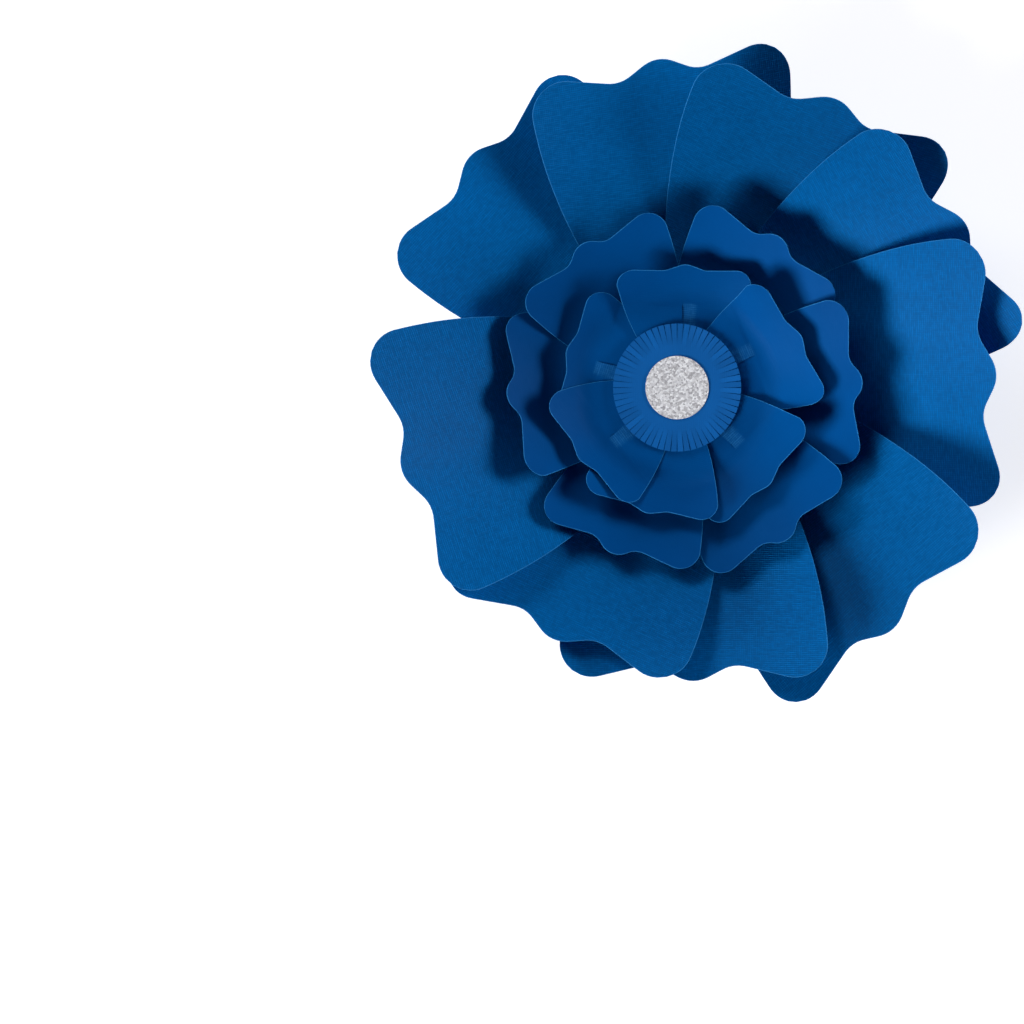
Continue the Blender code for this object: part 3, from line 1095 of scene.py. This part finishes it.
@dataclass(frozen=True)
class Studio:
    """Floor, surroundings, lamps and camera.

    Attributes:
        lamps: The lamps, low so that the petals throw long soft shadows.
        floor_size: Side of the square floor.
        floor_colour: Colour of the floor.
        floor_roughness: Roughness of the floor.
        floor_specular: Sheen of the floor.
        floor_drop: How far the floor lies under the flower's back.
        floor_glow: Glow that makes the floor white where it is seen; it doesn't light the flower.
        fill_light: Light of the surroundings.
        mm_per_pixel: Scale of the photograph at the focus height.
        frame_pixels: Width and height of the photograph.
        ring_pixel: Pixel of the photograph at which the outer ring's middle, the frame's origin, lies.
        eye_height: Height of the camera.
        focus_height: Height at which the photograph's scale holds.
    """

    lamps: tuple[SoftBox, ...] = (
        SoftBox("left_box", 215.0, 25.0, 330.0),
        SoftBox("right_box", 10.0, 15.0, 285.0),
        SoftBox("top_box", 125.0, 25.0, 118.0),
    )
    floor_size: float = 12.0
    floor_colour: Colour = (0.82, 0.82, 0.82)
    floor_roughness: float = 0.9
    floor_specular: float = 0.1
    floor_drop: float = 0.0005
    floor_glow: float = 0.58
    fill_light: Colour = (0.044, 0.050, 0.088)
    mm_per_pixel: float = 0.644
    frame_pixels: int = 1024
    ring_pixel: tuple[float, float] = (696.0, 370.0)
    eye_height: float = 8.0
    focus_height: float = 0.055

    def floor(self) -> None:
        """Lay a plain pale floor that looks white to the camera and keeps the shadow."""
        bm = bmesh.new()
        bmesh.ops.create_grid(bm, x_segments=1, y_segments=1, size=self.floor_size / 2)
        bmesh.ops.translate(bm, verts=bm.verts[:], vec=(0.0, 0.0, -self.floor_drop))
        mesh = bpy.data.meshes.new("floor")
        bm.to_mesh(mesh)
        bm.free()
        material, tree, shader = new_material("floor")
        shader.inputs["Base Color"].default_value = shade(self.floor_colour)
        shader.inputs["Roughness"].default_value = self.floor_roughness
        shader.inputs["Specular IOR Level"].default_value = self.floor_specular
        shader.inputs["Emission Color"].default_value = shade(WHITE)
        glow = add_node(tree, "Math", {0: shown(tree), 1: self.floor_glow}, operation="MULTIPLY")
        tree.links.new(glow.outputs[0], shader.inputs["Emission Strength"])
        mesh.materials.append(material)
        floor = bpy.data.objects.new("floor", mesh)
        bpy.context.scene.collection.objects.link(floor)

    def world(self) -> None:
        """Set up even surroundings: a dim, cool fill as light, white where they are seen."""
        world = bpy.data.worlds.new("studio")
        bpy.context.scene.world = world
        world.use_nodes = True
        tree = world.node_tree
        colour = add_node(
            tree, "Mix",
            {"Factor": shown(tree), "A": shade(self.fill_light), "B": shade(WHITE)},
            data_type="RGBA",
        )
        tree.links.new(colour.outputs["Result"], tree.nodes["Background"].inputs["Color"])
        tree.nodes["Background"].inputs["Strength"].default_value = 1.0

    def camera(self) -> None:
        """Place the camera so that it looks straight down, framed as the photograph is."""
        data = bpy.data.cameras.new("camera")
        camera = bpy.data.objects.new("camera", data)
        bpy.context.scene.collection.objects.link(camera)
        middle = self.frame_pixels / 2
        scale = self.mm_per_pixel / 1000
        x = (middle - self.ring_pixel[0]) * scale
        y = (self.ring_pixel[1] - middle) * scale
        camera.location = (x, y, self.eye_height)
        data.lens = data.sensor_width * (self.eye_height - self.focus_height) / (self.frame_pixels * scale)
        bpy.context.scene.camera = camera

    def build(self) -> None:
        """Set the studio up."""
        self.floor()
        self.world()
        for lamp in self.lamps:
            lamp.build()
        self.camera()
        bpy.context.scene.view_settings.view_transform = "Standard"


def outer_ring() -> PetalRing:
    """Sizes of the nine large petals."""
    return PetalRing(
        name="outer",
        slot=Slot.OUTER,
        centre=Vector((0.0, 0.0)),
        bearings=(136.7, 97.2, 62.7, 28.7, -0.7, -52.8, -90.6, -118.0, -160.9),
        reach_trims=(0.000, 0.001, -0.004, -0.003, -0.007, 0.009, 0.000, -0.004, 0.000),
        spreads=(0.99, 0.98, 1.0, 0.96, 1.0, 1.0, 1.0, 0.97, 1.02),
        draws=(0.02, 0.07, 0.12, 0.11, 0.09, 0.09, 0.01, 0.08, 0.0),
        # Sheet tones: partly dye, partly painted light and shade.
        tones_and_painted_light=(1.04, 0.93, 0.82, 1.03, 1.02, 0.86, 1.05, 1.02, 1.0),
        reach=0.1975,
        width=0.172,
        base_end=0.016,
        base_width=0.037,
        slit_end=0.096,
        rise_angle=35.0,
        bend_radius=0.045,
        edge_lift=0.010,
        open_tilt=0.020,
        shoulder=(0.42, 0.92),
        crown=0.03,
        notch=0.085,
    )


def middle_ring() -> PetalRing:
    """Sizes of the six middle petals."""
    return PetalRing(
        name="middle",
        slot=Slot.MIDDLE,
        centre=middle_of("glitter_disc"),
        bearings=(55.7, 1.8, -54.0, -111.5, -177.3, -236.0),
        reach_trims=(0.003, 0.005, 0.007, 0.001, -0.004, -0.003),
        spreads=(1.0, 1.0, 1.0, 1.0, 1.0, 1.0),
        draws=(0.0, 0.06, 0.0, 0.02, 0.10, 0.0),
        # Sheet tones: partly dye, partly painted light and shade.
        tones_and_painted_light=(1.12, 1.03, 1.0, 1.05, 0.95, 0.96),
        reach=0.109,
        width=0.106,
        base_end=0.011,
        base_width=0.022,
        slit_end=0.068,
        rise_angle=38.0,
        bend_radius=0.030,
        edge_lift=0.004,
        open_tilt=0.003,
        shoulder=(0.35, 0.76),
        crown=0.10,
        notch=0.035,
    )


def inner_ring() -> PetalRing:
    """Sizes of the six inner petals."""
    return PetalRing(
        name="inner",
        slot=Slot.INNER,
        centre=middle_of("glitter_disc"),
        bearings=(161.5, 86.2, 22.5, -46.4, -103.7, -143.7),
        reach_trims=(-0.006, -0.002, 0.005, 0.005, 0.002, -0.003),
        spreads=(1.0, 1.0, 1.0, 1.0, 1.0, 1.0),
        draws=(0.06, 0.06, 0.14, 0.06, 0.0, 0.04),
        # Sheet tones: partly dye, partly painted light and shade.
        tones_and_painted_light=(1.05, 0.98, 1.10, 0.96, 1.04, 1.04),
        reach=0.0777,
        width=0.087,
        base_end=0.009,
        base_width=0.018,
        slit_end=0.055,
        rise_angle=42.0,
        bend_radius=0.018,
        edge_lift=0.003,
        open_tilt=0.0025,
        shoulder=(0.35, 0.74),
        crown=0.09,
        notch=0.0,
        fold_highlight_sides=(1, -1, 1, 1, -1, 1),
    )


OUTER_CARD = CardFinish(
    Slot.OUTER, (0.0, 0.142, 0.450), emboss_depth=0.00024, emboss_tone=0.32, specular=0.035
)
MIDDLE_CARD = CardFinish(Slot.MIDDLE, (0.0, 0.071, 0.268))
INNER_CARD = CardFinish(Slot.INNER, (0.0, 0.075, 0.278))
FRINGE_CARD = CardFinish(Slot.FRINGE, (0.004, 0.122, 0.415), specular=0.10)
# Pale cut edge of the petals: partly pale fibres, partly a painted highlight.
PETAL_EDGE_AND_HIGHLIGHT_COLOUR = (0.012, 0.185, 0.480)
# Darker rim of the fringed disc: painted shade for the shadow round its rim.
FRINGE_EDGE_SHADE_COLOUR = (0.004, 0.080, 0.300)


def main() -> None:
    """Build the flower from its back to its face, then the studio."""
    logging.basicConfig(level=logging.INFO, format="%(message)s")
    base = BaseDisc()
    base.build(BoardFinish())
    rings = ((outer_ring(), OUTER_CARD), (middle_ring(), MIDDLE_CARD), (inner_ring(), INNER_CARD))
    top = base.thickness
    for ring, card in rings:
        top = ring.sit_on(top)
        ring.build(card, CutEdgeFinish(ring.slot, PETAL_EDGE_AND_HIGHLIGHT_COLOUR))
    centre = FlowerCentre(top + GAP, middle_of("glitter_disc"))
    centre.fringed_disc(FRINGE_CARD, CutEdgeFinish(Slot.FRINGE, FRINGE_EDGE_SHADE_COLOUR))
    centre.glitter_disc(GlitterFinish())
    Studio().build()


if __name__ == "__main__":
    main()
